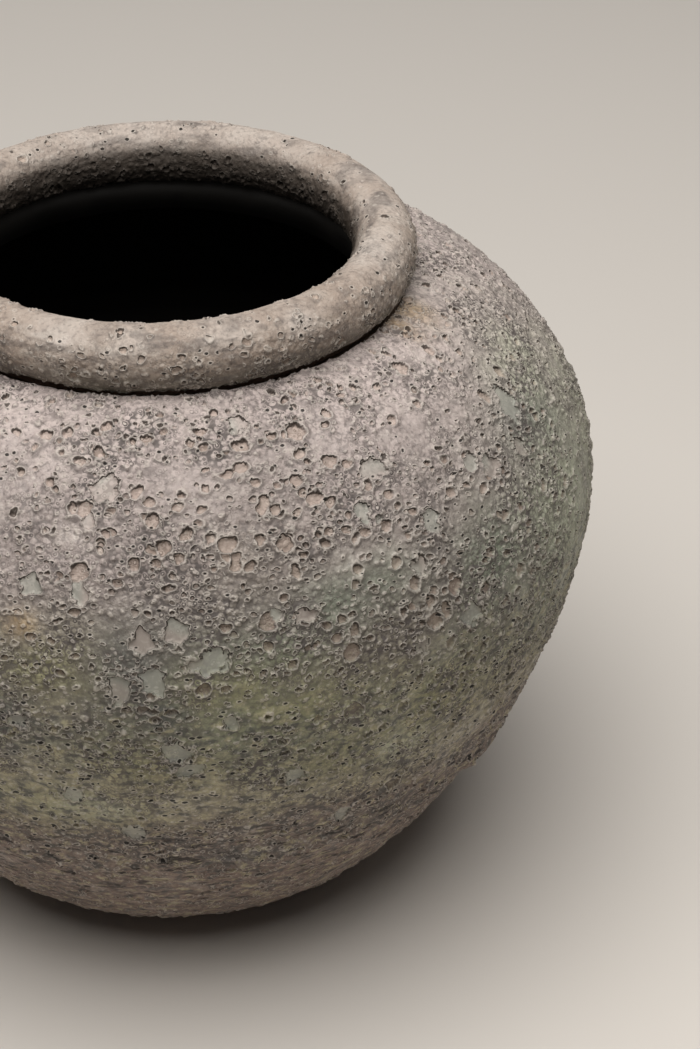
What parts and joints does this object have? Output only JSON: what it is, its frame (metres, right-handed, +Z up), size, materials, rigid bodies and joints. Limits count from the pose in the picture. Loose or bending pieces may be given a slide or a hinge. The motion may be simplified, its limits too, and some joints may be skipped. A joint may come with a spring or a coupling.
{
  "type": "stoneware jar",
  "caption": "Round-bellied open stoneware jar with a thick rolled rim, narrow foot and cratered matte glaze over luted clay sections, for holding dry goods, water or cut branches.",
  "frame": {"origin": "middle of the foot ring's standing face, on the surface that the jar stands on", "axes": "+Z up along the axis that the jar was turned on; +Y away from the picture's viewer and +X to the viewer's right"},
  "size_m": [0.3, 0.3, 0.2492],
  "materials": {
    "clay": "bare fired stoneware, matte",
    "crater_glaze": "matte cratered glaze, grey-beige with lilac and olive",
    "lower_glaze": "matte thin glaze, mauve-brown",
    "liner": "dark satin liner glaze"
  },
  "bodies": {
    "root": {"foot_ring": "clay", "lower_bowl": "clay", "seam_coil": "clay", "upper_bowl": "clay", "neck_ring": "clay", "rim_roll": "clay", "lower_glaze": "lower_glaze", "body_glaze": "crater_glaze", "rim_glaze": "crater_glaze", "liner_glaze": "liner"}
  },
  "joints": []
}
